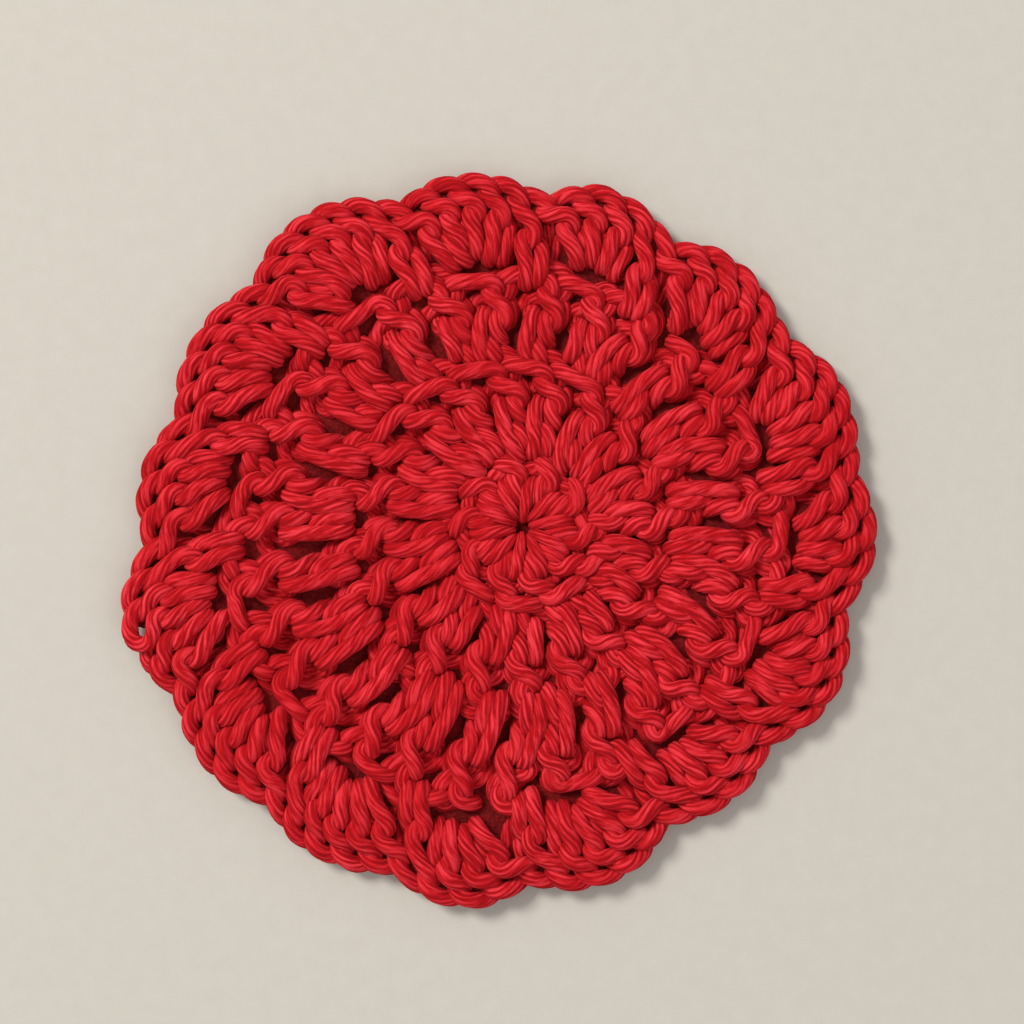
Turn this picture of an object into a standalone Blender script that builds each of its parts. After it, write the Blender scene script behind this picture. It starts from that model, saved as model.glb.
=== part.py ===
"""Crochet coaster, worked flat in the round from one length of thick cotton yarn.

Three rounds of tall posts end in a round of fifteen scallops. The yarn's own strands are finer than this
solid: it has the fabric's true outline and thickness, the swell of the posts in each round, the furrow
behind each round's edge, the domed scallops and the pit that each scallop fans out from.

Every place on the coaster has two coordinates. The bearing runs anticlockwise from +X. The round number
runs outward: 0 is the starting ring, 1, 2 and 3 are where those rounds end, and 4 is the outline. The
rounds grow unevenly, so each round's edge has a centre of its own.
"""

import math
from typing import NamedTuple

import bmesh
import bpy
from mathutils import Vector

MM = 0.001

THICKNESS = 6.0  # from the underside to the crest of the posts, in mm
SCALLOP_STEPS = 8  # columns of faces in each scallop
PIT_DEPTH = 2.4  # the pit at the foot of each scallop, in mm
PIT_RADIUS = 2.4
VALLEY_HALF_ANGLE = 4.5  # of the dip between two scallops, in degrees
LOBE_POWER = 2.3  # 2 rounds a scallop like a parabola, and more makes it blunter

YARN_COLOUR = (0.62, 0.012, 0.022, 1.0)
YARN_ROUGHNESS = 0.9


class RoundEdge(NamedTuple):
    """The circle where a plain round ends, in mm."""

    name: str
    centre_x: float
    centre_y: float
    radius: float


class Scallop(NamedTuple):
    """One scallop: its pit, its tip and the notch that follows it, as bearing in degrees and radius in mm."""

    pit_deg: float
    pit_radius: float
    tip_deg: float
    tip_radius: float
    notch_deg: float
    notch_radius: float


class Level(NamedTuple):
    """One ring of the top face: its height and how far it dips between two scallops, in mm."""

    place: str
    round_number: float
    height: float
    dip: float = 0.0


class Side(NamedTuple):
    """One ring round the edge: how far inside the outline, how high and how far it dips, in mm."""

    place: str
    inset: float
    height: float
    dip: float = 0.0


PLAIN_ROUNDS = (
    RoundEdge("starting ring", 3.3, 2.0, 0.0),
    RoundEdge("first round", 3.3, 2.0, 12.7),
    RoundEdge("second round", 1.7, 1.2, 25.8),
)

SCALLOPS = (
    Scallop(0.0, 41.8, 2.0, 55.2, 11.0, 53.2),
    Scallop(22.0, 40.4, 24.0, 55.2, 35.0, 51.4),
    Scallop(46.0, 39.8, 50.0, 53.9, 60.0, 49.7),
    Scallop(71.0, 39.8, 73.0, 54.3, 82.0, 50.6),
    Scallop(94.5, 38.9, 97.0, 54.1, 107.0, 51.1),
    Scallop(119.0, 40.4, 122.0, 55.8, 134.0, 51.4),
    Scallop(142.5, 39.5, 143.0, 53.8, 160.0, 50.3),
    Scallop(166.5, 38.8, 170.0, 53.5, 182.0, 51.7),
    Scallop(192.0, 40.7, 194.0, 56.7, 205.0, 52.3),
    Scallop(214.5, 39.8, 217.0, 54.3, 229.0, 51.1),
    Scallop(237.5, 38.7, 238.0, 53.5, 253.0, 50.7),
    Scallop(261.5, 39.5, 263.0, 54.1, 275.0, 50.0),
    Scallop(285.5, 37.6, 287.0, 52.7, 301.0, 47.5),
    Scallop(312.0, 37.2, 313.0, 51.3, 324.0, 49.3),
    Scallop(336.5, 40.0, 337.0, 54.1, 348.0, 50.4),
)

TOP_LEVELS = (
    Level("starting ring", 0.0, 4.6),
    Level("first posts, foot", 0.16, 5.5),
    Level("first posts, crest starts", 0.35, THICKNESS),
    Level("first posts, crest ends", 0.85, THICKNESS),
    Level("first round's edge", 1.0, 5.5),
    Level("furrow behind it", 1.12, 4.3),
    Level("second posts, foot", 1.32, 5.6),
    Level("second posts, crest starts", 1.5, THICKNESS),
    Level("second posts, crest ends", 1.76, THICKNESS),
    Level("second round's edge", 1.97, 5.5),
    Level("furrow behind it", 2.1, 4.1),
    Level("third posts, foot", 2.28, 5.5),
    Level("third posts, crest starts", 2.45, THICKNESS),
    Level("third posts, crest ends", 2.68, THICKNESS),
    Level("third round's edge", 2.85, 5.4),
    Level("foot of the scallops", 3.0, 4.8),
    Level("scallop, foot", 3.2, 5.6, 0.5),
    Level("scallop, crest starts", 3.38, THICKNESS, 1.1),
    Level("scallop, crest ends", 3.55, THICKNESS, 1.3),
    Level("scallop, outer", 3.75, 5.6, 1.2),
)

SIDES = (
    Side("crest of the edge", 1.6, 5.3, 1.0),
    Side("shoulder", 0.6, 4.6, 0.7),
    Side("widest", 0.0, 3.2, 0.3),
    Side("lower side", 0.3, 1.3),
    Side("underside", 1.3, 0.0),
)


def polar(bearing: float, radius: float) -> Vector:
    """Return the flat place at a bearing in radians and a radius in mm from the coaster's middle."""
    return Vector((radius * math.cos(bearing), radius * math.sin(bearing)))


def column_bearings() -> list[float]:
    """Return the bearings of the columns of faces, with one on each scallop's notch and one on its tip."""
    bearings = []
    before = SCALLOPS[-1].notch_deg - 360.0
    half = SCALLOP_STEPS // 2
    for scallop in SCALLOPS:
        tip, after = scallop.tip_deg, scallop.notch_deg
        bearings += [before + (tip - before) * step / half for step in range(half)]
        bearings += [tip + (after - tip) * step / half for step in range(half)]
        before = after
    return [math.radians(bearing) for bearing in bearings]


def outline_radius(bearing: float) -> float:
    """Return the radius of the scalloped outline, in mm."""
    degrees = math.degrees(bearing)
    before = SCALLOPS[-1]
    before_deg = before.notch_deg - 360.0
    for scallop in SCALLOPS:
        if degrees <= scallop.notch_deg + 1e-6:
            break
        before, before_deg = scallop, scallop.notch_deg
    if degrees <= scallop.tip_deg:
        away = (scallop.tip_deg - degrees) / (scallop.tip_deg - before_deg)
        notch_radius = before.notch_radius
    else:
        away = (degrees - scallop.tip_deg) / (scallop.notch_deg - scallop.tip_deg)
        notch_radius = scallop.notch_radius
    return scallop.tip_radius + (notch_radius - scallop.tip_radius) * away**LOBE_POWER


def pit_circle_radius(bearing: float) -> float:
    """Return the radius of the wavering line through the scallops' pits, in mm."""
    degrees = math.degrees(bearing) % 360.0
    following = SCALLOPS[1:] + SCALLOPS[:1]
    for scallop, after in zip(SCALLOPS, following):
        gap = (after.pit_deg - scallop.pit_deg) % 360.0
        along = ((degrees - scallop.pit_deg) % 360.0) / gap
        if along <= 1.0:
            ease = (1.0 - math.cos(math.pi * along)) / 2.0
            return scallop.pit_radius + (after.pit_radius - scallop.pit_radius) * ease
    return SCALLOPS[0].pit_radius


def round_edge(number: int, bearing: float) -> Vector:
    """Return where a bearing meets the edge of a round: 0 to 2 are plain, 3 is the pits, 4 the outline."""
    if number < len(PLAIN_ROUNDS):
        edge = PLAIN_ROUNDS[number]
        return Vector((edge.centre_x, edge.centre_y)) + polar(bearing, edge.radius)
    if number == len(PLAIN_ROUNDS):
        return polar(bearing, pit_circle_radius(bearing))
    return polar(bearing, outline_radius(bearing))


def place(round_number: float, bearing: float) -> Vector:
    """Return the flat place at a round number and a bearing, in mm."""
    inner = min(int(round_number), len(PLAIN_ROUNDS))
    return round_edge(inner, bearing).lerp(round_edge(inner + 1, bearing), round_number - inner)


def pit_at(flat: Vector) -> float:
    """Return how deep the scallops' pits reach at a place, in mm."""
    pits = (polar(math.radians(scallop.pit_deg), scallop.pit_radius) for scallop in SCALLOPS)
    nearest = min((flat - pit).length for pit in pits)
    return PIT_DEPTH * math.exp(-((nearest / PIT_RADIUS) ** 2))


def valley_share(bearing: float) -> float:
    """Return 1 on the line between two scallops, falling smoothly to 0 on both sides of it."""
    degrees = math.degrees(bearing)
    nearest = min(abs(math.remainder(degrees - scallop.notch_deg, 360.0)) for scallop in SCALLOPS)
    return math.exp(-((nearest / VALLEY_HALF_ANGLE) ** 2))


def top_ring(level: Level, bearings: list[float]) -> list[Vector]:
    """Return one ring of the top face."""
    ring = []
    for bearing in bearings:
        flat = place(level.round_number, bearing)
        height = level.height - level.dip * valley_share(bearing) - pit_at(flat)
        ring.append(Vector((flat.x, flat.y, height)))
    return ring


def side_ring(side: Side, bearings: list[float]) -> list[Vector]:
    """Return one ring round the edge."""
    ring = []
    for bearing in bearings:
        flat = polar(bearing, outline_radius(bearing) - side.inset)
        ring.append(Vector((flat.x, flat.y, side.height - side.dip * valley_share(bearing))))
    return ring


def box_middle(points: list[Vector]) -> Vector:
    """Return the point on the underside that is in the middle of the points' box."""
    low_x, high_x = min(point.x for point in points), max(point.x for point in points)
    low_y, high_y = min(point.y for point in points), max(point.y for point in points)
    return Vector(((low_x + high_x) / 2.0, (low_y + high_y) / 2.0, 0.0))


def yarn_material() -> bpy.types.Material:
    """Return the plain red of the cotton yarn."""
    material = bpy.data.materials.new("red_cotton_yarn")
    material.use_nodes = True
    shader = material.node_tree.nodes["Principled BSDF"]
    shader.inputs["Base Color"].default_value = YARN_COLOUR
    shader.inputs["Roughness"].default_value = YARN_ROUGHNESS
    shader.inputs["Metallic"].default_value = 0.0
    return material


def build_coaster() -> bpy.types.Object:
    """Build the coaster as one closed solid that lies flat on its underside."""
    bearings = column_bearings()
    rings = [top_ring(level, bearings) for level in TOP_LEVELS]
    rings += [side_ring(side, bearings) for side in SIDES]
    middle = box_middle([point for ring in rings for point in ring])

    shape = bmesh.new()
    start = shape.verts.new((rings[0][0] - middle) * MM)
    lines = [[shape.verts.new((point - middle) * MM) for point in ring] for ring in rings[1:]]
    count = len(bearings)
    for column in range(count):
        beside = (column + 1) % count
        shape.faces.new((start, lines[0][column], lines[0][beside]))
        for inner, outer in zip(lines, lines[1:]):
            shape.faces.new((inner[column], outer[column], outer[beside], inner[beside]))
    shape.faces.new(reversed(lines[-1]))
    bmesh.ops.recalc_face_normals(shape, faces=shape.faces)

    mesh = bpy.data.meshes.new("coaster")
    shape.to_mesh(mesh)
    shape.free()
    mesh.materials.append(yarn_material())
    mesh.shade_smooth()
    mesh.set_sharp_from_angle(angle=math.radians(50.0))
    coaster = bpy.data.objects.new("coaster", mesh)
    bpy.context.scene.collection.objects.link(coaster)
    return coaster


def main() -> None:
    """Clear the scene and build the coaster."""
    for leftover in list(bpy.data.objects):
        bpy.data.objects.remove(leftover, do_unlink=True)
    build_coaster()


main()
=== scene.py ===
"""Looks of a round crochet coaster: plied cotton yarn worked in four rounds with a shell edge.

The yarn is worked stitch by stitch from a chart of one stitch, then pulled tight and settled so that
every loop lies against its neighbours. Lengths are in millimetres until a mesh is made, in metres.
"""

import logging
import math
from dataclasses import dataclass
from enum import Enum
from itertools import product
from typing import NamedTuple, Sequence, Union

import bpy
import numpy as np
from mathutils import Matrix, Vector


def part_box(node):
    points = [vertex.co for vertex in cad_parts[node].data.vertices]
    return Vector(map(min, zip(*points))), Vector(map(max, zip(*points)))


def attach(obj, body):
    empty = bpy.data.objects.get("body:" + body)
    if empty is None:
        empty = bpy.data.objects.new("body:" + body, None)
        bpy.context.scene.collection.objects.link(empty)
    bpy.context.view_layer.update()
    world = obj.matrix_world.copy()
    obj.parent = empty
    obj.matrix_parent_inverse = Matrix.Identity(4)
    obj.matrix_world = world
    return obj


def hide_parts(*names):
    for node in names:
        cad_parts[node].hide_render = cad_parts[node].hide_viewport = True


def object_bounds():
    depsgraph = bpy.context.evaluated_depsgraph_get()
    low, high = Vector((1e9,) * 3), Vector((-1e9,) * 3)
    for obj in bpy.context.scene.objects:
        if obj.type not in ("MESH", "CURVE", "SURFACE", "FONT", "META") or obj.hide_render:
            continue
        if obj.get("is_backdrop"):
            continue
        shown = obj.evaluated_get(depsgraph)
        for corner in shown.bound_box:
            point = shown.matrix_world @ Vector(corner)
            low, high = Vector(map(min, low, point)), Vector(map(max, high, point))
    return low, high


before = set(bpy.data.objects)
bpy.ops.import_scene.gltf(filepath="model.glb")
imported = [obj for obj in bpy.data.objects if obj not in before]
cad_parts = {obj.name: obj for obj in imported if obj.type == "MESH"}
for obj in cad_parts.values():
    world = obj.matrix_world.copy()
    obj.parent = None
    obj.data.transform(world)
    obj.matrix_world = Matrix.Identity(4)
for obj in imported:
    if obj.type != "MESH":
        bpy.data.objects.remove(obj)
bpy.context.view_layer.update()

LOG = logging.getLogger("coaster")
MM = 0.001
YARN_WIDTH = 2.8
TURN = 2.0 * math.pi
TINY = 1e-9

Colour = tuple[float, float, float, float]
Angle = Union[float, np.ndarray]


# ---- Charts of the stitches, and the table of the edge ----


class Row(NamedTuple):
    """One point of a stitch's yarn, in the stitch's own frame.

    Attributes:
        swing: -1 for the frame of the stitch before, 0 for its own, 1 for the next one's.
        left: Yarn widths to the left of the stitch's middle line.
        share: Share of the stitch's height that it starts from.
        rise: Yarn widths above that.
        front: Yarn widths in front of the mid-plane.
    """

    swing: float
    left: float
    share: float
    rise: float
    front: float


# Shares of a tall stitch's height at which its loops hold each other.
JOINT_LOW = 0.40
JOINT_HIGH = 0.76
JOINT_MID = 0.5 * (JOINT_LOW + JOINT_HIGH)

INTO_FOOT = (
    Row(0, -0.40, 0, -0.50, -1.00),
    Row(0, -0.40, 0, -1.00, 0.00),
    Row(0, -0.40, 0, -0.40, 1.00),
)
OUT_OF_FOOT = (
    Row(0, 0.40, 0, -0.40, 1.00),
    Row(0, 0.40, 0, -1.00, 0.00),
    Row(0, 0.45, 0, -0.50, -1.00),
)
YARN_OVER = (
    Row(-1, 1.05, 1, -0.95, -0.75),
    Row(-0.5, 0.00, 0.82, 0.00, -0.90),
    Row(0, -0.65, JOINT_LOW, 1.05, -1.20),
    Row(0, -0.05, JOINT_LOW, 1.00, -0.30),
    Row(0, 0.05, JOINT_LOW, 0.50, 0.80),
    Row(0, 0.05, JOINT_LOW, -0.50, 0.80),
    Row(0, 0.00, JOINT_LOW, -0.95, -0.10),
    Row(0, -0.15, JOINT_LOW, -0.90, -0.80),
    Row(0, -0.35, 0.12, 0.00, -1.10),
)
FIRST_LOOP = (
    Row(0, -0.30, 0, 0.60, 0.80),
    Row(0, 0.40, JOINT_LOW, -1.00, 0.15),
    Row(0, 0.95, JOINT_LOW, 0.00, -0.80),
    Row(0, 0.90, JOINT_LOW, 0.90, 0.00),
    Row(0, 0.90, JOINT_LOW, 0.00, 0.90),
    Row(0, 0.60, 0, 0.90, 1.05),
)
SECOND_LOOP = (
    Row(0, 0.95, 0.5 * JOINT_LOW, 0.00, -1.30),
    Row(0, 1.20, JOINT_LOW, -0.35, -0.95),
    Row(0, 0.85, JOINT_LOW, -0.15, -0.35),
    Row(0, 0.00, JOINT_LOW, 0.00, -0.30),
    Row(0, -0.80, JOINT_LOW, 0.20, -0.30),
    Row(0, -0.85, JOINT_LOW, 1.10, -0.30),
    Row(0, -0.10, JOINT_MID, 0.40, -0.70),
    Row(0, 0.60, JOINT_HIGH, 0.00, -0.75),
    Row(0, 0.65, JOINT_HIGH, 0.85, 0.00),
    Row(0, 0.60, JOINT_HIGH, 0.00, 0.85),
    Row(0, -0.20, JOINT_MID, 0.10, 1.00),
    Row(0, -0.95, JOINT_LOW, 0.80, 0.75),
    Row(0, -1.00, JOINT_LOW, 0.10, 0.40),
    Row(0, -0.30, JOINT_LOW, 0.00, 0.30),
    Row(0, 0.90, JOINT_LOW, 0.20, 0.30),
    Row(0, 1.20, JOINT_LOW, 0.40, -0.25),
    Row(0, 1.25, JOINT_LOW, 1.00, -1.15),
    Row(0, 1.15, JOINT_HIGH, -0.25, -1.05),
)


def top_loop(joint: float, slack: float) -> tuple[Row, ...]:
    """Charts the loop that is drawn up through a joint and lies on top as a link of the chain.

    Args:
        joint: Share of the stitch's height at which it is held.
        slack: Yarn widths by which its end stands above the joint.

    Returns:
        The chart's rows.
    """
    return (
        Row(0, 0.60, joint, -0.15, -0.30),
        Row(0, -0.35, joint, 0.10, -0.30),
        Row(0, -0.50, 1, -0.60, -0.30),
        Row(0, -0.25, 1, 0.30, -0.35),
        Row(0.5, 0.00, 1, 0.30, -0.65),
        Row(1, -0.80, 1, 0.05, -0.80),
        Row(1, -0.10, 1, -0.10, -0.85),
        Row(1, 0.80, 1, 0.05, 0.00),
        Row(1, -0.10, 1, 0.05, 0.60),
        Row(1, -0.80, 1, 0.05, 0.60),
        Row(0.5, 0.00, 1, 0.05, 0.55),
        Row(0, 0.35, 1, 0.00, 0.25),
        Row(0, -0.20, 1, -0.20, 0.00),
        Row(0, -0.50, 1, -0.60, 0.15),
        Row(0, -0.35, joint, 0.25, 0.30),
        Row(0, 0.60, joint, 0.10, 0.30),
        Row(0, 1.05, joint, slack, -0.30),
    )


def plain_chart(joint: float) -> tuple[Row, ...]:
    """Charts a stitch with one long loop, which the loop on top holds at the joint.

    Args:
        joint: Share of the stitch's height at which it is held.

    Returns:
        The chart's rows.
    """
    down = (
        Row(-1, 0.90, 1, -1.10, -0.80),
        Row(-0.3, 0.00, 0.5, 0.00, -1.00),
    )
    loop = (
        Row(0, -0.50, 0.6 * joint, 0.00, 0.95),
        Row(0, -0.45, joint, -0.20, 0.50),
        Row(0, 0.60, joint, 0.00, -0.75),
        Row(0, 0.65, joint, 0.85, -0.20),
        Row(0, 0.60, joint, 0.00, 0.50),
        Row(0, 0.50, 0.5 * joint, 0.00, 1.05),
        Row(0, 0.45, 0, 0.60, 1.05),
    )
    up = (Row(0, 1.00, joint, -0.20, -1.00),)
    return down + INTO_FOOT + loop + OUT_OF_FOOT + up + top_loop(joint, slack=0.30)


class StitchKind(Enum):
    """The stitches of the pattern, each with its chart of rows."""

    TALL = YARN_OVER + INTO_FOOT + FIRST_LOOP + OUT_OF_FOOT + SECOND_LOOP + top_loop(JOINT_HIGH, slack=0.35)
    SHELL = plain_chart(0.58)
    SHORT = plain_chart(0.45)


class Scallop(NamedTuple):
    """One scallop of the edge: bearings in degrees about the origin, radii in millimetres."""

    pit_at: float
    pit_radius: float
    tip_at: float
    tip_radius: float
    notch_at: float
    notch_radius: float


SCALLOPS = (
    Scallop(0.0, 41.8, 2.0, 55.2, 11.0, 53.2),
    Scallop(22.0, 40.4, 24.0, 55.2, 35.0, 51.4),
    Scallop(46.0, 39.8, 50.0, 53.9, 60.0, 49.7),
    Scallop(71.0, 39.8, 73.0, 54.3, 82.0, 50.6),
    Scallop(94.5, 38.9, 97.0, 54.1, 107.0, 51.1),
    Scallop(119.0, 40.4, 122.0, 55.8, 134.0, 51.4),
    Scallop(142.5, 39.5, 143.0, 53.8, 160.0, 50.3),
    Scallop(166.5, 38.8, 170.0, 53.5, 182.0, 51.7),
    Scallop(192.0, 40.7, 194.0, 56.7, 205.0, 52.3),
    Scallop(214.5, 39.8, 217.0, 54.3, 229.0, 51.1),
    Scallop(237.5, 38.7, 238.0, 53.5, 253.0, 50.7),
    Scallop(261.5, 39.5, 263.0, 54.1, 275.0, 50.0),
    Scallop(285.5, 37.6, 287.0, 52.7, 301.0, 47.5),
    Scallop(312.0, 37.2, 313.0, 51.3, 324.0, 49.3),
    Scallop(336.5, 40.0, 337.5, 54.1, 349.5, 51.2),
)
NOTCHES = [scallop.notch_at for scallop in SCALLOPS]
# How full a scallop is between its tip and its notches: 2 is a parabola, and more is rounder.
LOBE_POWER = 2.3


# ---- Working the stitches ----


def on_bearing(bearing: float, radius: float, centre: Sequence[float] = (0.0, 0.0)) -> np.ndarray:
    """Returns the flat point at a bearing in degrees and a radius about a centre."""
    angle = math.radians(bearing)
    return np.array([centre[0] + radius * math.cos(angle), centre[1] + radius * math.sin(angle)])


def bearing_of(point: np.ndarray) -> float:
    """Returns a point's bearing about the origin, from 0 to 360 degrees."""
    return math.degrees(math.atan2(point[1], point[0])) % 360.0


def is_within(bearing: float, span: tuple[float, float]) -> bool:
    """Tells whether a bearing lies between two others."""
    return span[0] < bearing % 360.0 < span[1]


def before_in(bearings: Sequence[float], index: int) -> float:
    """Returns the bearing before one in a closed list, which is below 0 for the first."""
    return bearings[index - 1] - (360.0 if index == 0 else 0.0)


def turned_from(bearing: Angle, start: float) -> Angle:
    """Returns the degrees from a start to a bearing, from -180 to 180."""
    return (bearing - start + 180.0) % 360.0 - 180.0


@dataclass
class Stitch:
    """One stitch, standing on its foot with its head outward, its front towards +Z.

    Attributes:
        foot: Flat point where the stitch enters the round below.
        head: Flat point of its top.
        pinch: Share of the chart's width left at the foot.
        kind: Which chart it follows.
        roll: Degrees by which the chain on its top is rolled towards the front.
        behind: Whether its foot passes behind the front of the chain below, not around it.
        sunk: Yarn widths by which the front of its chain lies deeper, under the next round's feet.
        room: Share of the chart's width left at the head, which its neighbours set.
    """

    foot: np.ndarray
    head: np.ndarray
    pinch: float
    kind: StitchKind = StitchKind.TALL
    roll: float = 0.0
    behind: bool = False
    sunk: float = 0.0
    room: float = 1.0

    # Yarn widths between heads that the full width needs, and how fast it widens from the foot.
    FULL_GAP = 2.35
    WIDEN = 1.6
    # The chain's roll, in yarn widths: its axis and start below the head, its reach and its lift.
    ROLL_AXIS = 0.1
    ROLL_FROM = 1.3
    ROLL_OVER = 0.9
    LIFT = 0.15
    # Share of the roll that is left for the rows just below the chain.
    PARTLY = 0.5
    # A foot behind the chain below: share of its dip, and yarn widths to its front and its step back.
    BEHIND_DIP = 0.4
    BEHIND_FRONT = 0.25
    BEHIND_STEP = 0.1

    def __post_init__(self) -> None:
        """Works out the stitch's height and its two directions."""
        line = self.head - self.foot
        self.height = float(np.hypot(*line))
        self.up = line / self.height
        self.left = np.array([-self.up[1], self.up[0]])

    def fit_between(self, before: "Stitch", after: "Stitch") -> None:
        """Narrows the stitch where its neighbours' heads stand close.

        Args:
            before: The stitch before it.
            after: The stitch after it.
        """
        gap = 0.5 * (np.hypot(*(before.head - self.head)) + np.hypot(*(after.head - self.head)))
        self.room = min(1.0, gap / (self.FULL_GAP * YARN_WIDTH))
        self.pinch = min(self.pinch, self.room)

    def rolled(self, row: Row, rise: float) -> tuple[float, float]:
        """Rolls a row with the chain on top.

        Args:
            row: The chart's row.
            rise: Its height before the roll.

        Returns:
            Its height, and its depth in yarn widths.
        """
        axis = self.height - self.ROLL_AXIS * YARN_WIDTH
        share = (rise - self.height + self.ROLL_FROM * YARN_WIDTH) / (self.ROLL_OVER * YARN_WIDTH)
        if row.share == 1:
            share = 1.0 if row.rise > -self.ROLL_OVER else self.PARTLY
        angle = math.radians(self.roll) * min(max(share, 0.0), 1.0)
        above = (rise - axis) / YARN_WIDTH
        height = axis + YARN_WIDTH * (above * math.cos(angle) - row.front * math.sin(angle))
        return height, (above + self.LIFT) * math.sin(angle) + row.front * math.cos(angle)

    def place(self, row: Row) -> np.ndarray:
        """Places one row of the chart.

        Args:
            row: The chart's row.

        Returns:
            Its point, about the mid-plane.
        """
        if self.behind and row.share == 0 and row.front >= 0.0 and row.rise <= 0.0:
            front = min(row.front, self.BEHIND_FRONT) - self.BEHIND_STEP
            row = row._replace(rise=self.BEHIND_DIP * row.rise, front=front)
        if row.share == 1 and row.front > 0.0:
            row = row._replace(front=row.front - self.sunk)
        rise = row.share * self.height + row.rise * YARN_WIDTH
        rise, front = self.rolled(row, rise)
        climb = min(max(rise / self.height, 0.0), 1.0)
        if rise < 0.0:
            rise *= math.sqrt(self.pinch)
        width = self.pinch + (self.room - self.pinch) * min(1.0, climb * self.WIDEN)
        flat = self.foot + self.up * rise + self.left * (row.left * YARN_WIDTH * width)
        return np.array([flat[0], flat[1], front * YARN_WIDTH])


@dataclass
class Round:
    """One closed round of stitches, worked counterclockwise.

    Attributes:
        name: What the round is called.
        stitches: Its stitches in order.
        yarn_length: Length of yarn that the round is tightened towards.
        pieces: Number of mesh pieces that its yarn is made in.
    """

    name: str
    stitches: list[Stitch]
    yarn_length: float
    pieces: int = 1

    # Number of points among which the lowest is looked for, to cut there.
    CUT_WINDOW = 120

    def chart_points(self) -> np.ndarray:
        """Places every row of every stitch.

        Returns:
            The round's points, one stitch after the other.
        """
        count = len(self.stitches)
        for index, stitch in enumerate(self.stitches):
            stitch.fit_between(self.stitches[index - 1], self.stitches[(index + 1) % count])
        points = []
        for index, stitch in enumerate(self.stitches):
            for row in stitch.kind.value:
                step = -1 if row.swing < 0 else 1
                other = self.stitches[(index + step) % count]
                share = abs(row.swing)
                points.append((1.0 - share) * stitch.place(row) + share * other.place(row))
        return np.array(points)

    def runs(self, points: np.ndarray) -> list[tuple[str, np.ndarray]]:
        """Cuts the round's settled yarn into its pieces, each of which starts low at the back.

        Args:
            points: The round's closed line of points.

        Returns:
            Each piece's name and its points, which run one step into the next piece.
        """
        count = len(points)
        starts = []
        for index in range(self.pieces):
            first = index * count // self.pieces
            window = np.arange(first, first + self.CUT_WINDOW) % count
            starts.append(int(window[np.argmin(points[window, 2])]))
        found = []
        for index, start in enumerate(starts):
            stop = starts[(index + 1) % self.pieces]
            length = (stop - start) % count or count
            name = self.name if self.pieces == 1 else f"{self.name}_{index + 1}"
            found.append((name, points[(start + np.arange(length + 2)) % count]))
        return found


@dataclass(frozen=True)
class Eye:
    """An upright hole that the yarn goes around.

    Attributes:
        place: Its flat centre.
        radius: Its radius.
        low: Height about the mid-plane from which it is open.
    """

    place: np.ndarray
    radius: float
    low: float = -3.0


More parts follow.
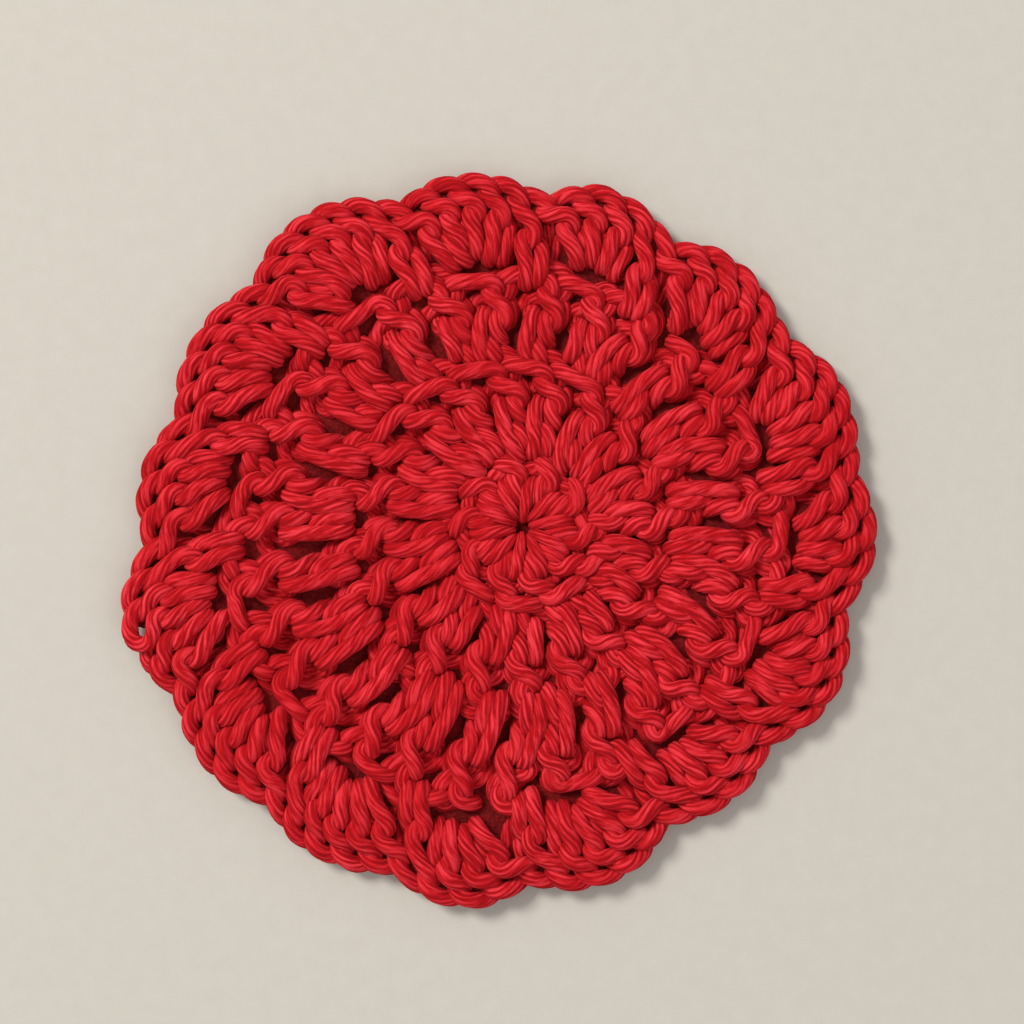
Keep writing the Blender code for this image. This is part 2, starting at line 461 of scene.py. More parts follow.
@dataclass
class CoasterPattern:
    """Where every stitch of the coaster stands: three plain rounds and a shell edge.

    Attributes:
        ring_centre, second_centre: Centres of the magic ring and of the second round, which drifted.
        ring_radius, head_radii: Radii of the feet in the ring, and of the first two rounds' heads.
        first_bearing: Bearing at which the rounds were joined.
        chain_lift: Yarn widths from the line between two heads out to the middle of their chain.
        pair_gap, third_gap: Yarn widths from that middle to either foot of a pair in each round.
        sunk: Yarn widths by which a chain lies deeper under the next round's feet.
        first_chain_shows, second_chain_shows: Bearings between which a round's chain lies on top.
        pit_inset: How far the third round's heads stay inside the line of the pits.
        arm_spacing: Length of edge for each link of its plait.
        edge_depth, edge_roll: Yarn widths from the outline in to the plait, and degrees of its roll.
        eye_rim, eye_fan: Distance of a shell's feet from its eye's middle, and degrees between two.
        eye_radius, eye_lift: Radius of a shell's open eye, and how far it lies outside its pit.
        loop_bearing, loop_reach, loop_radius: The open loop on the edge, and its opening.
        yarn_lengths: Length of yarn that each round is tightened towards.
    """

    ring_centre: tuple[float, float] = (3.3, 2.0)
    second_centre: tuple[float, float] = (1.7, 1.2)
    ring_radius: float = 1.6
    head_radii: tuple[float, float] = (11.7, 24.8)
    first_bearing: float = 100.0
    chain_lift: float = 0.3
    pair_gap: float = 0.5
    third_gap: float = 0.45
    sunk: float = 0.55
    first_chain_shows: tuple[float, float] = (200.0, 330.0)
    second_chain_shows: tuple[float, float] = (55.0, 135.0)
    pit_inset: float = 1.2
    arm_spacing: float = 4.75
    edge_depth: float = 1.12
    edge_roll: float = 60.0
    eye_rim: float = 1.3
    eye_fan: float = 46.0
    eye_radius: float = 1.0
    eye_lift: float = 0.2
    loop_bearing: float = 194.6
    loop_reach: float = 53.0
    loop_radius: float = 1.0
    yarn_lengths: tuple[float, float, float, float] = (560.0, 1450.0, 2700.0, 2500.0)

    FIRST_COUNT = 10
    SECOND_COUNT = 20
    THIRD_COUNT = 30

    def loop_after(self, below: Round, index: int) -> tuple[np.ndarray, np.ndarray]:
        """Finds a chain loop between two heads of a round.

        Args:
            below: The round.
            index: The stitch before the loop, counted on around the round.

        Returns:
            The loop's middle, and the direction along it.
        """
        first = below.stitches[index % len(below.stitches)]
        second = below.stitches[(index + 1) % len(below.stitches)]
        middle = 0.5 * (first.head + second.head)
        middle = middle * (1.0 + self.chain_lift * YARN_WIDTH / np.hypot(*middle))
        along = second.head - first.head
        return middle, along / np.hypot(*along)

    def depth_at(self, bearing: float, shows: tuple[float, float]) -> float:
        """Returns the yarn widths by which a chain is sunk at a bearing: none where it shows."""
        return 0.0 if is_within(bearing, shows) else self.sunk

    def edge_radius(self, bearing: float) -> float:
        """Follows the scalloped outline.

        Args:
            bearing: A bearing, from the first scallop's start to the last one's end.

        Returns:
            The outline's radius there.
        """
        for index, scallop in enumerate(SCALLOPS):
            start = before_in(NOTCHES, index)
            turned = bearing if bearing <= NOTCHES[-1] else bearing - 360.0
            if not start <= turned <= scallop.notch_at:
                continue
            if turned <= scallop.tip_at:
                share = (scallop.tip_at - turned) / (scallop.tip_at - start)
                low = SCALLOPS[index - 1].notch_radius
            else:
                share = (turned - scallop.tip_at) / (scallop.notch_at - scallop.tip_at)
                low = scallop.notch_radius
            return scallop.tip_radius + (low - scallop.tip_radius) * share ** LOBE_POWER
        raise ValueError(f"no scallop at bearing {bearing}")

    def pit_circle(self, bearing: float) -> float:
        """Follows the wavy line through the pits of the scallops.

        Args:
            bearing: A bearing from 0 to 360 degrees.

        Returns:
            The line's radius there.
        """
        for index, scallop in enumerate(SCALLOPS):
            after = SCALLOPS[(index + 1) % len(SCALLOPS)]
            share = ((bearing - scallop.pit_at) % 360.0) / ((after.pit_at - scallop.pit_at) % 360.0)
            if share <= 1.0:
                wave = 0.5 * (1.0 - math.cos(math.pi * share))
                return scallop.pit_radius + (after.pit_radius - scallop.pit_radius) * wave
        raise ValueError(f"no pit near bearing {bearing}")

    def first_round(self) -> Round:
        """Works ten tall stitches into the magic ring.

        Returns:
            The round.
        """
        stitches = []
        for index in range(self.FIRST_COUNT):
            bearing = self.first_bearing + 360.0 * index / self.FIRST_COUNT
            foot = on_bearing(bearing, self.ring_radius, self.ring_centre)
            head = on_bearing(bearing, self.head_radii[0], self.ring_centre)
            sunk = self.depth_at(bearing, self.first_chain_shows)
            stitches.append(Stitch(foot, head, pinch=0.35, sunk=sunk))
        return Round("first_round", stitches, self.yarn_lengths[0])

    def second_round(self, below: Round) -> Round:
        """Works two tall stitches into every chain loop.

        Args:
            below: The first round.

        Returns:
            The round.
        """
        stitches = []
        for index in range(self.SECOND_COUNT):
            middle, along = self.loop_after(below, index // 2)
            side = self.pair_gap * YARN_WIDTH * (1 if index % 2 else -1)
            bearing = self.first_bearing + 360.0 * (index + 0.5) / self.SECOND_COUNT
            head = on_bearing(bearing, self.head_radii[1], self.second_centre)
            behind = is_within(bearing, self.first_chain_shows)
            sunk = self.depth_at(bearing, self.second_chain_shows)
            stitches.append(Stitch(middle + along * side, head, pinch=0.75, behind=behind, sunk=sunk))
        return Round("second_round", stitches, self.yarn_lengths[1])

    def third_heads(self) -> list[np.ndarray]:
        """Sets the third round's heads between the pits and notches of the edge.

        Returns:
            The heads' flat points.
        """
        chain = [bearing for scallop in SCALLOPS for bearing in (scallop.pit_at, scallop.notch_at)]
        heads = []
        for index, bearing in enumerate(chain):
            middle = 0.5 * (before_in(chain, index) + bearing)
            heads.append(on_bearing(middle, self.pit_circle(middle % 360.0) - self.pit_inset))
        return heads

    def third_round(self, below: Round) -> Round:
        """Works one and two tall stitches by turns into the chain loops.

        Args:
            below: The second round.

        Returns:
            The round, whose first stitch stands just before the first scallop's pit.
        """
        heads = self.third_heads()
        start_at = bearing_of(self.loop_after(below, 0)[0])
        turns = [abs(turned_from(bearing_of(head), start_at)) for head in heads]
        start = turns.index(min(turns))
        stitches = []
        for index in range(self.SECOND_COUNT):
            middle, along = self.loop_after(below, index)
            behind = is_within(bearing_of(middle), self.second_chain_shows)
            sides = (0.0,) if index % 2 == 0 else (-self.third_gap, self.third_gap)
            for side in sides:
                head = heads[(start + len(stitches)) % self.THIRD_COUNT]
                foot = middle + along * side * YARN_WIDTH
                stitches.append(Stitch(foot, head, pinch=0.8, behind=behind, sunk=self.sunk))
        turned = (self.THIRD_COUNT - start) % self.THIRD_COUNT
        stitches = stitches[turned:] + stitches[:turned]
        return Round("third_round", stitches, self.yarn_lengths[2], pieces=2)

    def shell(self, index: int) -> list[Stitch]:
        """Works one shell into its eye, with as many stitches as its edge has room for.

        Args:
            index: Which scallop it makes.

        Returns:
            The shell's stitches.
        """
        scallop = SCALLOPS[index]
        eye = on_bearing(scallop.pit_at, scallop.pit_radius + self.eye_lift)
        start = before_in(NOTCHES, index)
        arms = round(math.radians(scallop.notch_at - start) * scallop.tip_radius / self.arm_spacing)
        stitches = []
        for place in range(arms - 1):
            share = (place + 1.0) / arms
            bearing = start + (scallop.notch_at - start) * share
            head = on_bearing(bearing, self.edge_radius(bearing) - self.edge_depth * YARN_WIDTH)
            turned = (place + 1 - 0.5 * arms) * self.eye_fan
            foot = on_bearing(scallop.pit_at + turned, self.eye_rim, eye)
            kind = StitchKind.SHELL
            stitches.append(Stitch(foot, head, pinch=0.4, kind=kind, roll=self.edge_roll, behind=True))
        return stitches

    def shell_round(self, below: Round) -> Round:
        """Works a shell and a short stitch by turns.

        Args:
            below: The third round.

        Returns:
            The round.
        """
        stitches = []
        for index, scallop in enumerate(SCALLOPS):
            stitches += self.shell(index)
            middle, _ = self.loop_after(below, 2 * index + 1)
            head = on_bearing(scallop.notch_at, scallop.notch_radius - self.edge_depth * YARN_WIDTH)
            kind = StitchKind.SHORT
            stitches.append(Stitch(middle, head, pinch=0.8, kind=kind, roll=self.edge_roll))
        return Round("shell_round", stitches, self.yarn_lengths[3], pieces=2)

    def last_loop(self) -> Eye:
        """Returns the open loop on the edge, through which the yarn was fastened off."""
        return Eye(on_bearing(self.loop_bearing, self.loop_reach), self.loop_radius)

    def eyes(self) -> list[Eye]:
        """Returns the open eye at the foot of each shell, and the last loop."""
        places = [on_bearing(item.pit_at, item.pit_radius + self.eye_lift) for item in SCALLOPS]
        return [Eye(place, self.eye_radius) for place in places] + [self.last_loop()]

    def rounds(self) -> list[Round]:
        """Works the rounds from the ring outwards.

        Returns:
            The four rounds.
        """
        first = self.first_round()
        second = self.second_round(first)
        third = self.third_round(second)
        return [first, second, third, self.shell_round(third)]


# ---- Settling the yarn ----


def smooth_loop(points: np.ndarray, per_point: int = 8) -> np.ndarray:
    """Draws a closed Catmull-Rom line.

    Args:
        points: The points that it goes through.
        per_point: Number of samples for each of them.

    Returns:
        The line's samples.
    """
    before = np.roll(points, 1, 0)
    after = np.roll(points, -1, 0)
    later = np.roll(points, -2, 0)
    samples = []
    for index in range(per_point):
        t = index / per_point
        line = 2.0 * points + (after - before) * t
        line = line + (2.0 * before - 5.0 * points + 4.0 * after - later) * t ** 2
        line = line + (3.0 * points - before - 3.0 * after + later) * t ** 3
        samples.append(0.5 * line)
    return np.stack(samples, 1).reshape(-1, 3)


def even_loop(values: np.ndarray, steps: np.ndarray, count: int) -> np.ndarray:
    """Spaces a closed line's values evenly.

    Args:
        values: One row for each point of the line.
        steps: Distance from each point to the next.
        count: Number of rows wanted.

    Returns:
        The new rows.
    """
    marks = np.concatenate([[0.0], np.cumsum(steps)])
    wanted = np.linspace(0.0, marks[-1], count, endpoint=False)
    closed = np.vstack([values, values[:1]])
    return np.stack([np.interp(wanted, marks, closed[:, axis]) for axis in range(3)], 1)


def near_pairs(points: np.ndarray, reach: float) -> tuple[np.ndarray, np.ndarray]:
    """Finds the pairs of points in the same or touching cells of a grid.

    Args:
        points: The points, in any order.
        reach: Side of a cell, and the distance within which no pair is missed.

    Returns:
        Two index arrays, one entry for each pair.
    """
    # Each cell has a number, and a step to a touching cell always adds the same to it.
    cell = np.floor((points - points.min(0)) / reach).astype(np.int64) + 1
    size = cell.max(0) + 2
    key = (cell[:, 0] * size[1] + cell[:, 1]) * size[2] + cell[:, 2]
    order = np.argsort(key, kind="stable")
    ranked = key[order]
    own = (0, 0, 0)
    firsts = []
    seconds = []
    for shift in product((-1, 0, 1), repeat=3):
        if shift < own:
            continue
        wanted = key + (shift[0] * size[1] + shift[1]) * size[2] + shift[2]
        low = np.searchsorted(ranked, wanted, "left")
        count = np.searchsorted(ranked, wanted, "right") - low
        first = np.repeat(np.arange(len(points)), count)
        offset = np.arange(count.sum()) - np.repeat(np.cumsum(count) - count, count)
        second = order[np.repeat(low, count) + offset]
        keep = first < second if shift == own else slice(None)
        firsts.append(first[keep])
        seconds.append(second[keep])
    return np.concatenate(firsts), np.concatenate(seconds)


@dataclass
class Strands:
    """Several closed strands in one array, with what each point needs to know about its own.

    Attributes:
        points: Every strand's points, one strand after the other.
        homes: Where each point was worked, which it is drawn back to.
        sizes: Number of points in each strand.
        starts: Where each strand starts in the array, and where the last one ends.
        before, after: Each point's neighbours along its strand.
        strand, local, size_of: Each point's strand, its number in that, and that one's size.
    """

    points: np.ndarray
    homes: np.ndarray
    sizes: list[int]

    def __post_init__(self) -> None:
        """Works out where each point is along its strand."""
        self.starts = np.concatenate([[0], np.cumsum(self.sizes)])
        spans = list(zip(self.starts, self.starts[1:]))
        self.before = np.concatenate([np.roll(np.arange(a, b), 1) for a, b in spans])
        self.after = np.concatenate([np.roll(np.arange(a, b), -1) for a, b in spans])
        self.strand = np.repeat(np.arange(len(self.sizes)), self.sizes)
        self.local = np.concatenate([np.arange(size) for size in self.sizes])
        self.size_of = np.array(self.sizes)[self.strand]

    @classmethod
    def spaced(cls, lines: Sequence[np.ndarray], homes: Sequence[np.ndarray], step: float) -> "Strands":
        """Builds strands from closed lines.

        Args:
            lines: Each strand's points, at any spacing.
            homes: The home of each of those points.
            step: Distance wanted between points.

        Returns:
            The strands, with their points a step apart.
        """
        new_lines = []
        new_homes = []
        for line, home in zip(lines, homes):
            gaps = np.linalg.norm(np.roll(line, -1, 0) - line, axis=1)
            count = int(round(gaps.sum() / step))
            new_lines.append(even_loop(line, gaps, count))
            new_homes.append(even_loop(home, gaps, count))
        return cls(np.vstack(new_lines), np.vstack(new_homes), [len(line) for line in new_lines])

    def spaced_again(self, step: float) -> "Strands":
        """Returns the strands with their points a step apart again."""
        return self.spaced(self.split(self.points), self.split(self.homes), step)

    def split(self, values: np.ndarray) -> list[np.ndarray]:
        """Returns the values strand by strand."""
        return [values[a:b] for a, b in zip(self.starts, self.starts[1:])]

    def lengths(self) -> np.ndarray:
        """Returns each strand's length."""
        gaps = np.linalg.norm(self.points[self.after] - self.points, axis=1)
        return np.bincount(self.strand, gaps, len(self.sizes))

    def sag(self) -> np.ndarray:
        """Returns how far each point is from the middle of its two neighbours."""
        return 0.5 * (self.points[self.before] + self.points[self.after]) - self.points


@dataclass
class YarnSettler:
    """Pulls the worked rounds tight, then lets the yarn swell to its full width.

    Attributes:
        half_height: Half the coaster's thickness, which no strand leaves.
        eyes: The holes that stay open.
        ring_centre: Centre of the magic ring, where the yarn is pressed thin.
        step: Spacing of the points along the yarn.
        tighten_turns, swell_turns: Passes in which the yarn shortens, then grows to full width.
        tension: Share of its sag that a point loses in a pass while its strand is too long.
        hold_tight, hold_swell: Share of the way home that a point moves in a pass.
        bend: Share of its kink that a point loses in a pass while it swells.
        thin, middling, full: The yarn's radius at the start, once tightened and once swollen.
    """

    half_height: float
    eyes: Sequence[Eye]
    ring_centre: tuple[float, float]
    step: float = 1.0
    tighten_turns: int = 180
    swell_turns: int = 200
    tension: float = 0.35
    hold_tight: float = 0.15
    hold_swell: float = 0.08
    bend: float = 0.15
    thin: float = 0.2
    middling: float = 0.7
    full: float = 0.95

    # The pressed yarn in the ring: radius at its middle, growth with distance, and least radius.
    RING_RADIUS = 0.35
    RING_GROWTH = 0.09
    RING_LEAST = 0.4
    # The finished strand's radius, as a multiple of the radius it settles with.
    BULGE = 1.5
    # Touching: spare reach, radii of its own strand that a point leaves out, and passes between looks.
    MARGIN = 0.8
    SKIP = 1.45
    LOOK_EVERY = 5
    SPACE_EVERY = 15
    # A push: times a pass, share of an overlap undone, weight of more neighbours, and longest move.
    PUSHES = 3
    FIRMNESS = 0.9
    CROWDING = 0.4
    MAX_PUSH = 0.3
    # Opening an eye: share of the move made at a time, and the least distance from its middle.
    OPENING = 0.6
    LEAST_REACH = 1e-6
    # Length: share over it at which the full tension acts, and share of a step's error undone.
    EASE_OVER = 0.10
    KEEPING = 0.25
    # Share of the swelling in which the radius grows, and times and share of the last smoothing.
    GROWING = 0.7
    LAST_EASES = 3
    LAST_SHARE = 0.4

    def full_radius(self, points: np.ndarray) -> np.ndarray:
        """Returns the settled yarn's radius at each point: it is pressed thin in the ring."""
        reach = np.hypot(points[:, 0] - self.ring_centre[0], points[:, 1] - self.ring_centre[1])
        return np.clip(self.RING_RADIUS + self.RING_GROWTH * reach, self.RING_LEAST, self.full)

    def contacts(self, strands: Strands, radius: np.ndarray) -> tuple[np.ndarray, np.ndarray]:
        """Finds the pairs of points that may touch, leaving out near ones on one strand.

        Args:
            strands: The strands.
            radius: The yarn's radius at each point.

        Returns:
            Two index arrays, one entry for each pair.
        """
        first, second = near_pairs(strands.points, 2.0 * float(radius.max()) + self.MARGIN)
        gap = np.linalg.norm(strands.points[first] - strands.points[second], axis=1)
        near = gap < radius[first] + radius[second] + self.MARGIN
        first = first[near]
        second = second[near]
        apart = np.abs(strands.local[first] - strands.local[second])
        apart = np.minimum(apart, strands.size_of[first] - apart)
        skip = np.ceil((radius[first] + radius[second]) * self.SKIP / self.step) + 1
        keep = (strands.strand[first] != strands.strand[second]) | (apart > skip)
        return first[keep], second[keep]

    def push_apart(
        self, points: np.ndarray, pairs: tuple[np.ndarray, np.ndarray], radius: np.ndarray
    ) -> np.ndarray:
        """Moves each overlapping pair of points apart.

        Args:
            points: Every point.
            pairs: The pairs that may touch.
            radius: The yarn's radius at each point.

        Returns:
            The moved points.
        """
        first, second = pairs
        line = points[first] - points[second]
        gap = np.linalg.norm(line, axis=1) + TINY
        need = radius[first] + radius[second] - gap
        hit = need > 0.0
        first = first[hit]
        second = second[hit]
        force = line[hit] / gap[hit, None] * (0.5 * self.FIRMNESS * need[hit, None])
        count = len(points)
        shared = np.bincount(first, minlength=count) + np.bincount(second, minlength=count)
        moves = [
            np.bincount(first, force[:, axis], count) - np.bincount(second, force[:, axis], count)
            for axis in range(3)
        ]
        move = np.stack(moves, 1)
        move /= np.maximum(1.0, self.CROWDING * shared)[:, None]
        size = np.linalg.norm(move, axis=1)
        move *= np.minimum(1.0, self.MAX_PUSH / np.maximum(size, TINY))[:, None]
        return points + move

    def clear_eyes(self, points: np.ndarray, radius: np.ndarray, share: float) -> None:
        """Moves the yarn out of the open eyes.

        Args:
            points: Every point, changed in place.
            radius: The yarn's radius at each point.
            share: Share of the needed move that is made.
        """
        for eye in self.eyes:
            line = points[:, :2] - eye.place
            reach = np.linalg.norm(line, axis=1) + self.LEAST_REACH
            inside = (reach < eye.radius + radius) & (points[:, 2] > eye.low)
            need = (eye.radius + radius[inside] - reach[inside]) / reach[inside]
            points[inside, :2] += line[inside] * (share * need)[:, None]

    def keep_in_slab(self, points: np.ndarray, radius: np.ndarray) -> None:
        """Presses every strand between the coaster's two faces."""
        room = self.half_height - radius * self.BULGE
        points[:, 2] = np.clip(points[:, 2], -room, room)

    def tighten(self, lines: Sequence[np.ndarray], wanted: np.ndarray) -> Strands:
        """Shortens thin strands until each has its real length.

        Args:
            lines: Each round's closed line.
            wanted: Each round's real length.

        Returns:
            The tightened strands.
        """
        strands = Strands.spaced(lines, lines, self.step)
        pairs = None
        for turn in range(self.tighten_turns):
            if turn % self.SPACE_EVERY == 0 and turn > 0:
                strands = strands.spaced_again(self.step)
            growth = (turn + 1) / self.tighten_turns
            growth = growth ** 2 * (3.0 - 2.0 * growth)
            width = self.thin + (self.middling - self.thin) * growth
            radius = np.minimum(self.full_radius(strands.points), width)
            if turn % self.LOOK_EVERY == 0:
                pairs = self.contacts(strands, radius)
            over = (strands.lengths() - wanted) / (self.EASE_OVER * wanted)
            spare = np.clip(over, 0.0, 1.0)[strands.strand]
            strands.points += (self.tension * spare)[:, None] * strands.sag()
            strands.points += self.hold_tight * (strands.homes - strands.points)
            for _ in range(self.PUSHES):
                strands.points = self.push_apart(strands.points, pairs, radius)
                self.clear_eyes(strands.points, radius, self.OPENING * growth)
            self.keep_in_slab(strands.points, radius)
        strands = strands.spaced_again(self.step)
        strands.homes = 0.5 * (strands.homes + strands.points)
        return strands

    def keep_length(self, strands: Strands, rest: np.ndarray, chosen: np.ndarray) -> None:
        """Draws the chosen points and the ones after them to their rest distance.

        Args:
            strands: The strands, changed in place.
            rest: Rest distance from each point to the next.
            chosen: Which points are chosen.
        """
        first = np.flatnonzero(chosen)
        second = strands.after[first]
        line = strands.points[second] - strands.points[first]
        gap = np.linalg.norm(line, axis=1) + TINY
        move = line / gap[:, None] * (self.KEEPING * (gap - rest[first]))[:, None]
        strands.points[first] += move
        strands.points[second] -= move

    def swell(self, strands: Strands, wanted: np.ndarray) -> None:
        """Grows the strands to full width while their lengths stay.

        Args:
            strands: The strands, changed in place.
            wanted: Each round's real length.
        """
        rest = (wanted / np.array(strands.sizes))[strands.strand]
        even = strands.local % 2 == 0
        pairs = None
        for turn in range(self.swell_turns):
            growth = min(1.0, (turn + 1) / (self.GROWING * self.swell_turns))
            width = self.middling + (self.full - self.middling) * growth
            radius = np.minimum(self.full_radius(strands.points), width)
            if turn % self.LOOK_EVERY == 0:
                pairs = self.contacts(strands, radius)
            sag = strands.sag()
            strands.points -= self.bend * (0.5 * (sag[strands.before] + sag[strands.after]) - sag)
            strands.points += self.hold_swell * (strands.homes - strands.points)
            for _ in range(self.PUSHES):
                strands.points = self.push_apart(strands.points, pairs, radius)
                self.clear_eyes(strands.points, radius, self.OPENING)
                self.keep_length(strands, rest, even)
                self.keep_length(strands, rest, ~even)
            self.keep_in_slab(strands.points, radius)

    def settle(self, rounds: Sequence[Round]) -> list[np.ndarray]:
        """Settles all the rounds together.

        Args:
            rounds: The worked rounds.

        Returns:
            Each round's yarn, as evenly spaced points about the mid-plane.
        """
        lines = [smooth_loop(item.chart_points()) for item in rounds]
        wanted = np.array([item.yarn_length for item in rounds])
        strands = self.tighten(lines, wanted)
        self.swell(strands, wanted)
        for _ in range(self.LAST_EASES):
            strands.points += self.LAST_SHARE * strands.sag()
        for item, length in zip(rounds, strands.lengths()):
            LOG.info("%s holds %.2f m of yarn", item.name, length * MM)
        return strands.split(strands.points)


# ---- Node trees ----


Value = Union["Link", float, int]


@dataclass(frozen=True)
class Link:
    """One output of a node, on which arithmetic adds Math nodes.

    Attributes:
        net: The net that the node is in.
        node: The node.
        output: Which of its outputs, by name or number.
    """

    net: "Net"
    node: bpy.types.Node
    output: str | int = 0

    def at(self, output: str | int) -> "Link":
        """Returns another output of the same node."""
        return Link(self.net, self.node, output)

    def __add__(self, other: Value) -> "Link":
        """Adds a value."""
        return self.net.math("ADD", self, other)

    def __radd__(self, other: Value) -> "Link":
        """Adds to a value."""
        return self.net.math("ADD", other, self)

    def __sub__(self, other: Value) -> "Link":
        """Takes a value away."""
        return self.net.math("SUBTRACT", self, other)

    def __rsub__(self, other: Value) -> "Link":
        """Is taken from a value."""
        return self.net.math("SUBTRACT", other, self)

    def __mul__(self, other: Value) -> "Link":
        """Multiplies by a value."""
        return self.net.math("MULTIPLY", self, other)

    def __rmul__(self, other: Value) -> "Link":
        """Multiplies a value."""
        return self.net.math("MULTIPLY", other, self)


class Net:
    """Adds nodes to one tree, for a material or for Geometry Nodes."""

    # Where a Mix node for colours has its share, its two colours and its result.
    MIX_SHARE = 0
    MIX_FIRST = 6
    MIX_SECOND = 7
    MIX_RESULT = 2

    def __init__(self, tree: bpy.types.NodeTree) -> None:
        """Keeps the tree."""
        self.tree = tree

    def feed(self, socket: bpy.types.NodeSocket, value: object) -> None:
        """Fills an input.

        Args:
            socket: The input.
            value: A Link to connect, or a plain value to set.
        """
        if isinstance(value, Link):
            self.tree.links.new(value.node.outputs[value.output], socket)
        else:
            socket.default_value = value

    def node(self, kind: str, settings: dict | None = None, sockets: dict | None = None) -> Link:
        """Adds a node.

        Args:
            kind: The node's type.
            settings: Its own properties, set before its sockets are read.
            sockets: Values or Links for its inputs, by name or number.

        Returns:
            The new node's first output.
        """
        made = self.tree.nodes.new(kind)
        for name, value in (settings or {}).items():
            setattr(made, name, value)
        for name, value in (sockets or {}).items():
            self.feed(made.inputs[name], value)
        return Link(self, made)

    def math(self, operation: str, first: Value, second: Value = 0.0) -> Link:
        """Adds a Math node."""
        return self.node("ShaderNodeMath", {"operation": operation}, {0: first, 1: second})

    def vector_math(self, operation: str, sockets: dict) -> Link:
        """Adds a Vector Math node."""
        return self.node("ShaderNodeVectorMath", {"operation": operation}, sockets)

    def ease(self, value: Value, low: float, high: float, to_low: float = 0.0, to_high: float = 1.0) -> Link:
        """Maps a value smoothly from one range to another."""
        sockets = {"Value": value, "From Min": low, "From Max": high, "To Min": to_low, "To Max": to_high}
        return self.node("ShaderNodeMapRange", {"interpolation_type": "SMOOTHSTEP"}, sockets)

    def blend(self, share: Value, first: object, second: object) -> Link:
        """Mixes two colours."""
        sockets = {self.MIX_SHARE: share, self.MIX_FIRST: first, self.MIX_SECOND: second}
        return self.node("ShaderNodeMix", {"data_type": "RGBA"}, sockets).at(self.MIX_RESULT)

    def stretch(self, vector: Link, scale: Sequence[float]) -> Link:
        """Scales a vector's three parts."""
        return self.vector_math("MULTIPLY", {0: vector, 1: scale})

    def noise(self, vector: Link, scale: float, detail: float = 2.0, roughness: float = 0.5) -> Link:
        """Adds a noise pattern from 0 to 1."""
        sockets = {"Vector": vector, "Scale": scale, "Detail": detail, "Roughness": roughness}
        return self.node("ShaderNodeTexNoise", {}, sockets)


